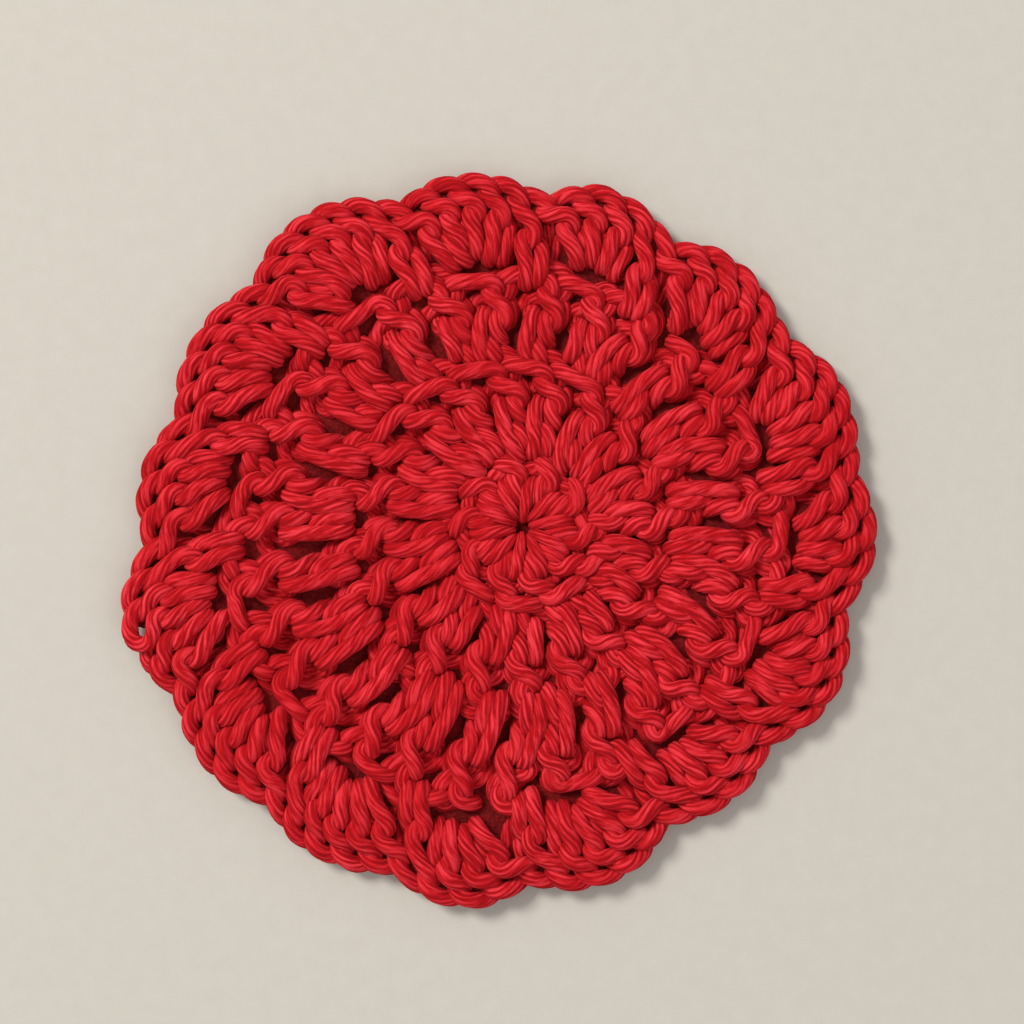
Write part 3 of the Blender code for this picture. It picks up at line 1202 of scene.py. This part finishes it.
class StrandTree:
    """Geometry Nodes tree that lays a plied strand along every curve it is given."""

    NAME = "plied_strand"
    # Values kept on the surface: the place around and along the strand, and how high it is on a ply.
    PLACE = "strand"
    PLY = "ply"
    # Waves to a metre of the twist's sway, and of the unevenness: around, around and along.
    SWAY_WAVES = 160.0
    UNEVEN_WAVES = (2.2, 2.2, 170.0)

    def __init__(self) -> None:
        """Builds the tree once, with its sizes as named inputs."""
        self.tree = bpy.data.node_groups.new(self.NAME, "GeometryNodeTree")
        self.inputs: dict[str, str] = {}
        self.add_input("Geometry", "NodeSocketGeometry")
        for name in ("Step", "Turn Length", "Sway", "Groove", "Unevenness"):
            self.add_input(name, "NodeSocketFloat")
        for name in ("Plies", "Sides"):
            self.add_input(name, "NodeSocketInt")
        self.add_input("Material", "NodeSocketMaterial")
        self.tree.interface.new_socket("Geometry", in_out="OUTPUT", socket_type="NodeSocketGeometry")
        self.build()

    def add_input(self, name: str, kind: str) -> None:
        """Adds an input and keeps its identifier."""
        item = self.tree.interface.new_socket(name, in_out="INPUT", socket_type=kind)
        self.inputs[name] = item.identifier

    def build(self) -> None:
        """Adds the nodes: resample, twist, sweep the plied profile, name the surface, set the finish."""
        net = Net(self.tree)
        given = net.node("NodeGroupInput")

        sockets = {"Curve": given.at("Geometry")}
        line = net.node("GeometryNodeCurveSplineType", {"spline_type": "CATMULL_ROM"}, sockets)
        sockets = {"Curve": line, "Length": given.at("Step")}
        line = net.node("GeometryNodeResampleCurve", {"mode": "LENGTH"}, sockets)

        along = net.node("GeometryNodeSplineParameter").at("Length")
        turn = net.math("DIVIDE", along, given.at("Turn Length")) * -TURN
        upward = net.node("ShaderNodeCombineXYZ", {}, {"Z": along})
        turn = turn + given.at("Sway") * (net.noise(upward, self.SWAY_WAVES, detail=1.0) - 0.5)
        line = net.node("GeometryNodeSetCurveTilt", {}, {"Curve": line, "Tilt": turn})

        sockets = {
            "Curve": self.store(net, line, "FLOAT", "along", along),
            "Profile Curve": self.profile(net, given),
            "Scale": net.node("GeometryNodeInputRadius"),
            "Fill Caps": True,
        }
        swept = net.node("GeometryNodeCurveToMesh", {}, sockets)
        far = net.node("ShaderNodeCombineXYZ", {}, {"Z": self.read(net, "FLOAT", "along")})
        place = net.vector_math("ADD", {0: self.read(net, "FLOAT_VECTOR", "around"), 1: far})
        named = self.store(net, swept, "FLOAT_VECTOR", self.PLACE, place)

        waves = net.noise(net.stretch(place, self.UNEVEN_WAVES), scale=1.0, detail=1.0)
        swell = (waves - 0.5) * given.at("Unevenness")
        out = net.vector_math("SCALE", {0: net.node("GeometryNodeInputNormal"), "Scale": swell})
        uneven = net.node("GeometryNodeSetPosition", {}, {"Geometry": named, "Offset": out})
        smooth = net.node("GeometryNodeSetShadeSmooth", {}, {"Geometry": uneven})
        real = net.node("GeometryNodeRealizeInstances", {}, {"Geometry": smooth})
        sockets = {"Geometry": real, "Material": given.at("Material")}
        net.node("NodeGroupOutput", {}, {"Geometry": net.node("GeometryNodeSetMaterial", {}, sockets)})

    @staticmethod
    def store(net: Net, geometry: Link, kind: str, name: str, value: Link) -> Link:
        """Stores a named value on every point and returns the geometry."""
        sockets = {"Geometry": geometry, "Name": name, "Value": value}
        return net.node("GeometryNodeStoreNamedAttribute", {"data_type": kind}, sockets)

    @staticmethod
    def read(net: Net, kind: str, name: str) -> Link:
        """Reads a named value."""
        return net.node("GeometryNodeInputNamedAttribute", {"data_type": kind}, {"Name": name})

    def profile(self, net: Net, given: Link) -> Link:
        """Adds the strand's profile, a ring with a ridge for each ply.

        Args:
            net: The net of this tree.
            given: Its input node.

        Returns:
            The ring, which knows its ridges and its place around.
        """
        sockets = {"Resolution": given.at("Sides"), "Radius": 1.0}
        ring = net.node("GeometryNodeCurvePrimitiveCircle", {"mode": "RADIUS"}, sockets)
        place = net.node("GeometryNodeInputPosition")
        parts = net.node("ShaderNodeSeparateXYZ", {}, {"Vector": place})
        angle = net.math("ARCTAN2", parts.at("Y"), parts.at("X"))
        ridge = net.math("COSINE", angle * given.at("Plies")) * 0.5 + 0.5
        scale = 1.0 - given.at("Groove") * (1.0 - ridge)
        ring = self.store(net, ring, "FLOAT_VECTOR", "around", place)
        ring = self.store(net, ring, "FLOAT", self.PLY, ridge)
        scaled = net.vector_math("SCALE", {0: place, "Scale": scale})
        return net.node("GeometryNodeSetPosition", {}, {"Geometry": ring, "Position": scaled})


# ---- Finishes ----


@dataclass(frozen=True)
class Finish:
    """What every finish starts from.

    Attributes:
        name: The material's name.
        roughness: Roughness all over, or of the smoothest part.
        specular: Strength of its shine.
    """

    name: str
    roughness: float
    specular: float

    def start(self) -> tuple[bpy.types.Material, Net, bpy.types.Node]:
        """Starts a material.

        Returns:
            The material, the net of its tree, and its shader.
        """
        made = bpy.data.materials.new(self.name)
        made.use_nodes = True
        shader = made.node_tree.nodes["Principled BSDF"]
        shader.inputs["Roughness"].default_value = self.roughness
        shader.inputs["Specular IOR Level"].default_value = self.specular
        return made, Net(made.node_tree), shader

    @staticmethod
    def object_place(net: Net) -> Link:
        """Returns the place on the object."""
        return net.node("ShaderNodeTexCoord").at("Object")

    @staticmethod
    def raise_by(net: Net, shader: bpy.types.Node, height: Link, strength: float, depth: float) -> None:
        """Raises the surface by a pattern, to a depth in metres."""
        sockets = {"Strength": strength, "Distance": depth, "Height": height}
        net.feed(shader.inputs["Normal"], net.node("ShaderNodeBump", {}, sockets))


@dataclass(frozen=True)
class CottonYarn(Finish):
    """Red mercerised cotton: fine plies with short painted highlights on their ridges and painted shade in
    the grooves.

    Attributes:
        groove_shade: Colour down between the plies, the yarn's red darkened by painted shade.
        body: Colour of most of the yarn.
        painted_highlight: Colour of the painted highlight on the fibres.
        dulling: How much rougher the dullest fibres are.
        ridge_weight: Weight of the plies' ridges against the plies' random tone, in the mask that paints
            shade into the grooves.
        fibre_share, ply_share, ridge_share: What fibres, plies and ridges add to the painted highlight.
        ply_waves, fibre_waves: Waves of the plies' pattern, which sets their tone, painted shade and painted
            highlight, and of the fibres, around and to a metre.
    """

    name: str = "red_cotton_yarn"
    roughness: float = 0.80
    specular: float = 0.15
    groove_shade: Colour = (0.24, 0.0020, 0.005, 1.0)
    body: Colour = (0.47, 0.0025, 0.006, 1.0)
    painted_highlight: Colour = (0.76, 0.042, 0.062, 1.0)
    dulling: float = 0.18
    ridge_weight: float = 0.25
    fibre_share: float = 0.25
    ply_share: float = 0.65
    ridge_share: float = 0.10
    ply_waves: tuple[float, float, float] = (2.8, 2.8, 380.0)
    fibre_waves: tuple[float, float, float] = (5.0, 5.0, 420.0)

    def material(self) -> bpy.types.Material:
        """Makes the finish.

        Returns:
            A new material.
        """
        made, net, shader = self.start()
        soft = net.noise(self.object_place(net), scale=90.0)
        patches = net.ease(soft, low=0.25, high=0.75, to_low=0.4, to_high=0.9)
        skin = net.node("ShaderNodeAttribute", {"attribute_name": StrandTree.PLACE}).at("Vector")
        ridge = net.node("ShaderNodeAttribute", {"attribute_name": StrandTree.PLY}).at("Fac")
        fibres = net.noise(net.stretch(skin, self.fibre_waves), scale=2.4, detail=3.0, roughness=0.65)
        plies = net.noise(net.stretch(skin, self.ply_waves), scale=1.0)
        # Painted shade and random tone: the colour runs from the darkened groove colour to the body colour,
        # lowest in the grooves and in the ply pattern's low spots.
        height = net.ease(ridge * self.ridge_weight + plies, low=0.30, high=0.80)
        # Painted highlight: where fibres, plies and ridges add up, in soft patches, the colour turns to the
        # highlight colour; the rest is made rougher.
        painted_highlight_sum = fibres * self.fibre_share + plies * self.ply_share + ridge * self.ridge_share
        light = net.ease(painted_highlight_sum, low=0.44, high=0.66)
        colour = net.blend(height, self.groove_shade, self.body)
        net.feed(shader.inputs["Base Color"], net.blend(light * patches, colour, self.painted_highlight))
        net.feed(shader.inputs["Roughness"], self.roughness + self.dulling * (1.0 - light))
        self.raise_by(net, shader, fibres, strength=0.6, depth=0.00015)
        return made


@dataclass(frozen=True)
class PressedYarnPaintedShade(Finish):
    """Yarn matted flat between the strands, dull and fibrous, its red darkened as painted shade, the shade
    seen down through the holes.

    Attributes:
        dark: Colour of most of it, the yarn's red in painted shade.
        light: Colour of its raised fibres, also darkened by painted shade.
        fibre_share, patch_share: What the fibres and the wider patches add to where it is raised.
    """

    name: str = "pressed_yarn_painted_shade"
    roughness: float = 0.95
    specular: float = 0.1
    # Painted shade: both colours are the red yarn darkened to the shade seen in the holes.
    dark: Colour = (0.09, 0.0035, 0.004, 1.0)
    light: Colour = (0.20, 0.008, 0.009, 1.0)
    fibre_share: float = 0.6
    patch_share: float = 0.4

    def material(self) -> bpy.types.Material:
        """Makes the finish.

        Returns:
            A new material.
        """
        made, net, shader = self.start()
        place = self.object_place(net)
        fibres = net.noise(place, scale=1800.0, detail=3.0, roughness=0.6)
        patches = net.noise(place, scale=260.0)
        raised = net.ease(self.fibre_share * fibres + self.patch_share * patches, low=0.35, high=0.7)
        net.feed(shader.inputs["Base Color"], net.blend(raised, self.dark, self.light))
        self.raise_by(net, shader, fibres, strength=1.0, depth=0.0004)
        return made


@dataclass(frozen=True)
class PaleFloor(Finish):
    """Plain off-white paper.

    Attributes:
        light: Colour of its lighter grain.
        dark: Colour of its darker grain.
    """

    name: str = "pale_paper"
    roughness: float = 0.9
    specular: float = 0.5
    light: Colour = (0.50, 0.475, 0.43, 1.0)
    dark: Colour = (0.46, 0.435, 0.39, 1.0)

    def material(self) -> bpy.types.Material:
        """Makes the finish.

        Returns:
            A new material.
        """
        made, net, shader = self.start()
        grain = net.noise(self.object_place(net), scale=400.0, detail=3.0)
        net.feed(shader.inputs["Base Color"], net.blend(grain, self.light, self.dark))
        return made


# ---- Pieces ----


def link_object(name: str, data: bpy.types.ID) -> bpy.types.Object:
    """Adds an object at the origin.

    Args:
        name: Its name.
        data: Its mesh, curve, light or camera.

    Returns:
        The new object.
    """
    made = bpy.data.objects.new(name, data)
    bpy.context.scene.collection.objects.link(made)
    return made


@dataclass
class YarnRun:
    """A run of one round's yarn as a mesh piece.

    Attributes:
        name: The piece's name.
        points: The settled yarn, about the mid-plane.
        mid_height: Height of the mid-plane above the table.
        ring_centre: Centre of the magic ring, where the strand is pressed thin.
        step: Length of a face along the strand.
        turn_length, sway: Length in which the plies turn once, and how far they sway in radians.
        groove: Depth between two plies, as a share of the radius.
        unevenness: How far the surface swells and shrinks.
        plies, sides: Number of plies, and of faces around, two for each.
        ring_radius, ring_growth, full_radius: Radius in the ring, its growth from there, and its most.
    """

    name: str
    points: np.ndarray
    mid_height: float
    ring_centre: tuple[float, float]
    step: float = 0.55
    turn_length: float = 18.0
    sway: float = 1.2
    groove: float = 0.042
    unevenness: float = 0.4
    plies: int = 9
    sides: int = 18
    ring_radius: float = 0.5
    ring_growth: float = 0.13
    full_radius: float = 1.22

    def radii(self) -> np.ndarray:
        """Returns the strand's radius at each point."""
        reach = np.hypot(self.points[:, 0] - self.ring_centre[0], self.points[:, 1] - self.ring_centre[1])
        return np.clip(self.ring_radius + self.ring_growth * reach, self.ring_radius, self.full_radius)

    def curve(self) -> bpy.types.Object:
        """Draws the yarn's centre line.

        Returns:
            The curve object.
        """
        data = bpy.data.curves.new(self.name + "_line", "CURVE")
        data.dimensions = "3D"
        spline = data.splines.new("POLY")
        spline.points.add(len(self.points) - 1)
        lifted = (self.points + np.array([0.0, 0.0, self.mid_height])) * MM
        spline.points.foreach_set("co", np.column_stack([lifted, np.ones(len(lifted))]).ravel())
        spline.points.foreach_set("radius", self.radii() * MM)
        return link_object(self.name + "_line", data)

    def build(self, tree: StrandTree, finish: bpy.types.Material) -> bpy.types.Object:
        """Sweeps the strand and makes it a plain mesh piece.

        Args:
            tree: The tree that lays a plied strand along a curve.
            finish: The yarn's material.

        Returns:
            The mesh object, at the origin.
        """
        line = self.curve()
        modifier = line.modifiers.new("strand", "NODES")
        modifier.node_group = tree.tree
        values = {
            "Step": self.step * MM,
            "Turn Length": self.turn_length * MM,
            "Sway": self.sway,
            "Groove": self.groove,
            "Unevenness": self.unevenness * MM,
            "Plies": self.plies,
            "Sides": self.sides,
            "Material": finish,
        }
        for name, value in values.items():
            modifier[tree.inputs[name]] = value
        evaluated = line.evaluated_get(bpy.context.evaluated_depsgraph_get())
        mesh = bpy.data.meshes.new_from_object(evaluated, preserve_all_data_layers=True)
        line.modifiers.remove(modifier)
        bpy.data.objects.remove(line)
        mesh.name = self.name
        return link_object(self.name, mesh)


@dataclass
class PressedMiddleShadeSheet:
    """The matted middle of the fabric: the yarn pressed flat between the front and back strands, a whole
    sheet without holes that paints shade into every gap between them.

    Attributes:
        strands: All the settled yarn, about the mid-plane.
        mid_height: Height of the mid-plane above the table.
        opening: The open loop that its rim stays clear of.
        spokes, rings: Number of bearings around it, and of rings out to its rim.
        rim_inset: How far its rim stays inside the outermost strand's middle.
        thickness, drop: How thick it is, and how far it lies below the strands' mean height.
        softness: Reach over which it follows that height.
    """

    strands: np.ndarray
    mid_height: float
    opening: Eye
    spokes: int = 300
    rings: int = 44
    rim_inset: float = 0.5
    thickness: float = 1.0
    softness: float = 1.2
    drop: float = 0.9

    NAME = "pressed_middle_shade_sheet"
    # Spokes to either side that the rim is smoothed over, and reaches within which a strand counts.
    LOOK = 1
    NEAR = 3.0

    def rim(self) -> np.ndarray:
        """Draws the rim just inside the outermost strands.

        Returns:
            The rim's radius at each spoke.
        """
        reach = np.hypot(self.strands[:, 0], self.strands[:, 1])
        turn = np.arctan2(self.strands[:, 1], self.strands[:, 0]) / TURN * self.spokes
        nearest = np.round(turn).astype(int) % self.spokes
        outer = np.zeros(self.spokes)
        np.maximum.at(outer, nearest, reach)
        shifts = range(-self.LOOK, self.LOOK + 1)
        lowest = np.min([np.roll(outer, shift) for shift in shifts], axis=0)
        rim = np.mean([np.roll(lowest, shift) for shift in shifts], axis=0) - self.rim_inset
        reach = float(np.hypot(*self.opening.place))
        spread = math.degrees(self.opening.radius / reach)
        bearings = np.arange(self.spokes) * 360.0 / self.spokes
        beside = np.abs(turned_from(bearings, bearing_of(self.opening.place))) < spread
        rim[beside] = np.minimum(rim[beside], reach - self.opening.radius - self.rim_inset)
        return rim

    def area(self) -> float:
        """Returns the area inside the rim, in square metres."""
        rim = self.rim()
        return 0.5 * float((rim * np.roll(rim, 1)).sum()) * math.sin(TURN / self.spokes) * MM ** 2

    def height_at(self, place: np.ndarray) -> float:
        """Finds how high the strands lie near a place.

        Args:
            place: The flat place.

        Returns:
            Their mean height.
        """
        line = self.strands[:, :2] - place
        reach = self.NEAR * self.softness
        near = (np.abs(line[:, 0]) < reach) & (np.abs(line[:, 1]) < reach)
        if not near.any():
            return 0.0
        weight = np.exp(-0.5 * (line[near] ** 2).sum(1) / self.softness ** 2) + TINY
        return float((weight * self.strands[near, 2]).sum() / weight.sum())

    def faces(self, count: int) -> list[tuple[int, ...]]:
        """Joins the points of the upper and lower sides into one closed skin.

        Args:
            count: Number of points on each side: the middle one, then ring by ring.

        Returns:
            The faces, which point outwards.
        """
        faces: list[tuple[int, ...]] = []
        for spoke in range(self.spokes):
            after = (spoke + 1) % self.spokes
            faces.append((0, 1 + spoke, 1 + after))
            for ring in range(self.rings - 1):
                inner = 1 + ring * self.spokes
                outer = inner + self.spokes
                faces.append((inner + spoke, outer + spoke, outer + after, inner + after))
        faces += [tuple(count + corner for corner in reversed(face)) for face in faces]
        edge = 1 + (self.rings - 1) * self.spokes
        for spoke in range(self.spokes):
            after = (spoke + 1) % self.spokes
            faces.append((edge + after, edge + spoke, count + edge + spoke, count + edge + after))
        return faces

    def build(self, finish: bpy.types.Material) -> bpy.types.Object:
        """Builds the sheet as one closed mesh piece.

        Args:
            finish: The matted yarn's material, in painted shade.

        Returns:
            The mesh object, at the origin.
        """
        rim = self.rim()
        bearings = TURN * np.arange(self.spokes) / self.spokes
        directions = np.column_stack([np.cos(bearings), np.sin(bearings)])
        flat = [np.zeros((1, 2))]
        flat += [directions * (rim * (ring + 1) / self.rings)[:, None] for ring in range(self.rings)]
        flat = np.vstack(flat)
        height = np.array([self.height_at(place) for place in flat]) - self.drop + self.mid_height
        half = 0.5 * self.thickness
        upper = np.column_stack([flat, height + half])
        lower = np.column_stack([flat, height - half])
        mesh = bpy.data.meshes.new(self.NAME)
        mesh.from_pydata((np.vstack([upper, lower]) * MM).tolist(), [], self.faces(len(flat)))
        mesh.shade_smooth()
        mesh.materials.append(finish)
        return link_object(self.NAME, mesh)


# ---- Studio ----


class Lamp(NamedTuple):
    """A square soft light that looks at the coaster, in metres and watts."""

    name: str
    place: tuple[float, float, float]
    power: float
    side: float
    tint: tuple[float, float, float]


@dataclass
class Studio:
    """The pale floor, the soft lights and the overhead camera.

    Attributes:
        aim, view_width: Place under the camera, and width of the view on the table.
        lens, sensor: Focal length of the lens, and width of the sensor.
        near, floor_reach: Metres to the nearest thing seen, and from the floor's middle to its sides.
        sky, sky_strength: Colour and strength of the soft light all round.
    """

    aim: tuple[float, float] = (1.8, 4.2)
    view_width: float = 148.8
    lens: float = 85.0
    sensor: float = 36.0
    near: float = 0.01
    floor_reach: float = 1.5
    sky: Colour = (1.0, 0.98, 0.95, 1.0)
    sky_strength: float = 0.55

    LAMPS = (
        Lamp("key", (-0.80, 0.62, 1.10), 21.0, 0.42, (1.0, 0.97, 0.92)),
        Lamp("fill", (0.90, -0.70, 1.20), 6.0, 1.20, (0.95, 0.97, 1.0)),
    )

    def floor(self) -> None:
        """Lays the pale floor just under the coaster."""
        mesh = bpy.data.meshes.new("floor")
        side = self.floor_reach
        corners = [(-side, -side, 0), (side, -side, 0), (side, side, 0), (-side, side, 0)]
        mesh.from_pydata(corners, [], [(0, 1, 2, 3)])
        mesh.materials.append(PaleFloor().material())
        floor = link_object("floor", mesh)
        floor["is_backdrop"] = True

    def lights(self) -> None:
        """Adds a key light from the upper left, a weak fill and a soft sky."""
        for lamp in self.LAMPS:
            data = bpy.data.lights.new(lamp.name, "AREA")
            data.energy = lamp.power
            data.size = lamp.side
            data.color = lamp.tint
            hung = link_object(lamp.name, data)
            hung.location = lamp.place
            hung.rotation_euler = (-Vector(lamp.place)).to_track_quat("-Z", "Y").to_euler()
        world = bpy.data.worlds.new("sky")
        world.use_nodes = True
        sky = world.node_tree.nodes["Background"]
        sky.inputs["Color"].default_value = self.sky
        sky.inputs["Strength"].default_value = self.sky_strength
        bpy.context.scene.world = world

    def camera(self) -> None:
        """Hangs the camera over the coaster, looking straight down."""
        data = bpy.data.cameras.new("camera")
        data.lens = self.lens
        data.sensor_width = self.sensor
        data.clip_start = self.near
        camera = link_object("camera", data)
        distance = self.view_width * MM * self.lens / self.sensor
        camera.location = (self.aim[0] * MM, self.aim[1] * MM, distance)
        bpy.context.scene.camera = camera

    def build(self) -> None:
        """Sets up the whole studio."""
        bpy.context.scene.view_settings.view_transform = "Standard"
        self.floor()
        self.lights()
        self.camera()


def main() -> None:
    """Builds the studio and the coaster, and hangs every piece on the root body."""
    logging.basicConfig(level=logging.INFO, format="%(name)s: %(message)s")
    Studio().build()
    low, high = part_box("coaster")
    mid_height = 0.5 * (low[2] + high[2]) / MM
    pattern = CoasterPattern()
    settler = YarnSettler(mid_height, pattern.eyes(), pattern.ring_centre)
    rounds = pattern.rounds()
    tree = StrandTree()
    finish = CottonYarn().material()
    settled = settler.settle(rounds)
    yarn = []
    for item, points in zip(rounds, settled):
        for name, line in item.runs(points):
            run = YarnRun(name, line, mid_height, pattern.ring_centre)
            yarn.append(run.build(tree, finish))
    # The sheet in the middle paints shade into every gap, its dark colour seen down through the holes.
    web = PressedMiddleShadeSheet(np.vstack(settled), mid_height, pattern.last_loop())
    middle = web.build(PressedYarnPaintedShade().material())
    for piece in [middle] + yarn:
        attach(piece, "root")
        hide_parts("coaster")
        LOG.info("%s has %d faces", piece.name, len(piece.data.polygons))
    low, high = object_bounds()
    web.area()


if __name__ == "__main__":
    main()
